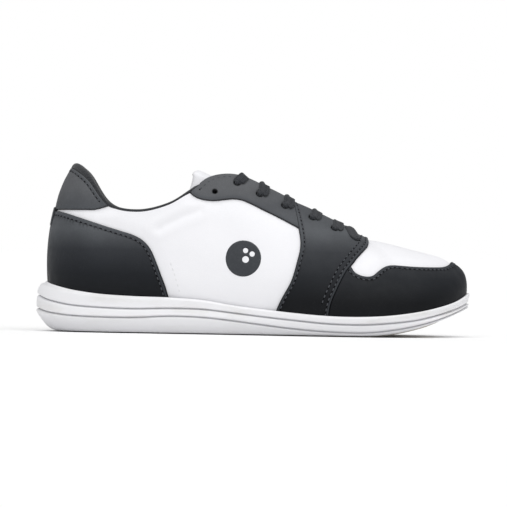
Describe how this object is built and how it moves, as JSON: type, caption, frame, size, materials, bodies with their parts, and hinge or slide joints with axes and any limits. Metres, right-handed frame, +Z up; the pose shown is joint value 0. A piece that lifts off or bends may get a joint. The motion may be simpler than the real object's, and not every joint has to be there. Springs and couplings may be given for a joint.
{
  "type": "bowling shoe",
  "caption": "Low lace-up bowling shoe with a white and dark leather upper, a white cup sole and a sliding pad under the forefoot.",
  "frame": {"origin": "on the floor under the middle of the shoe's bounding box", "axes": "+X from heel to toe, +Y to the inner (medial) side of this right shoe, +Z up"},
  "size_m": [0.3023, 0.1109, 0.1167],
  "materials": {
    "dark_leather": "smooth, fine grain, semi-matt",
    "white_leather": "smooth, fine grain, semi-matt",
    "sole_rubber": "moulded, satin",
    "slide_microfibre": "napped",
    "heel_rubber": "moulded, matt",
    "foam": "open cell",
    "shank_steel": "plain",
    "fibreboard": "pressed fibre",
    "lining_fabric": "knitted mesh",
    "lace_weave": "flat weave",
    "aglet_plastic": "clear over black",
    "badge_film": "printed film"
  },
  "bodies": {
    "root": {"outsole": "sole_rubber", "slide_pad": "slide_microfibre", "heel_pad": "heel_rubber", "midsole_foam": "foam", "shank": "shank_steel", "insole_board": "fibreboard", "vamp": "white_leather", "quarter_lateral": "white_leather", "quarter_medial": "white_leather", "forefoot_overlay_lateral": "dark_leather", "forefoot_overlay_medial": "dark_leather", "eyestay_lateral": "dark_leather", "eyestay_medial": "dark_leather", "toe_foxing": "dark_leather", "heel_foxing": "dark_leather", "backstay_strip": "dark_leather", "heel_tab": "dark_leather", "badge_lateral": "badge_film", "badge_medial": "badge_film", "heel_counter": "fibreboard", "collar_foam": "foam", "toe_puff": "fibreboard", "eyelet_backing_lateral": "fibreboard", "eyelet_backing_medial": "fibreboard", "vamp_lining": "lining_fabric", "collar_lining": "lining_fabric", "collar_roll": "lining_fabric", "lace": "lace_weave", "aglet_lateral": "aglet_plastic", "aglet_medial": "aglet_plastic"},
    "tongue": {"tongue_shell": "white_leather", "tongue_foam": "foam", "tongue_lining": "lining_fabric"},
    "footbed": {"footbed_foam": "foam", "footbed_cover": "lining_fabric"}
  },
  "joints": [
    {"name": "tongue_hinge", "type": "hinge", "parent": "root", "child": "tongue", "pos_m": [0.094, 0, 0.052], "axis": [0, -1, 0], "range_deg": [0, 9], "stiffness_Nm_per_rad": 0.12, "springref_deg": -20.05},
    {"name": "footbed_lift", "type": "hinge", "parent": "root", "child": "footbed", "pos_m": [0.141, 0.004, 0.027], "axis": [0, 1, 0], "range_deg": [0, 6]}
  ]
}
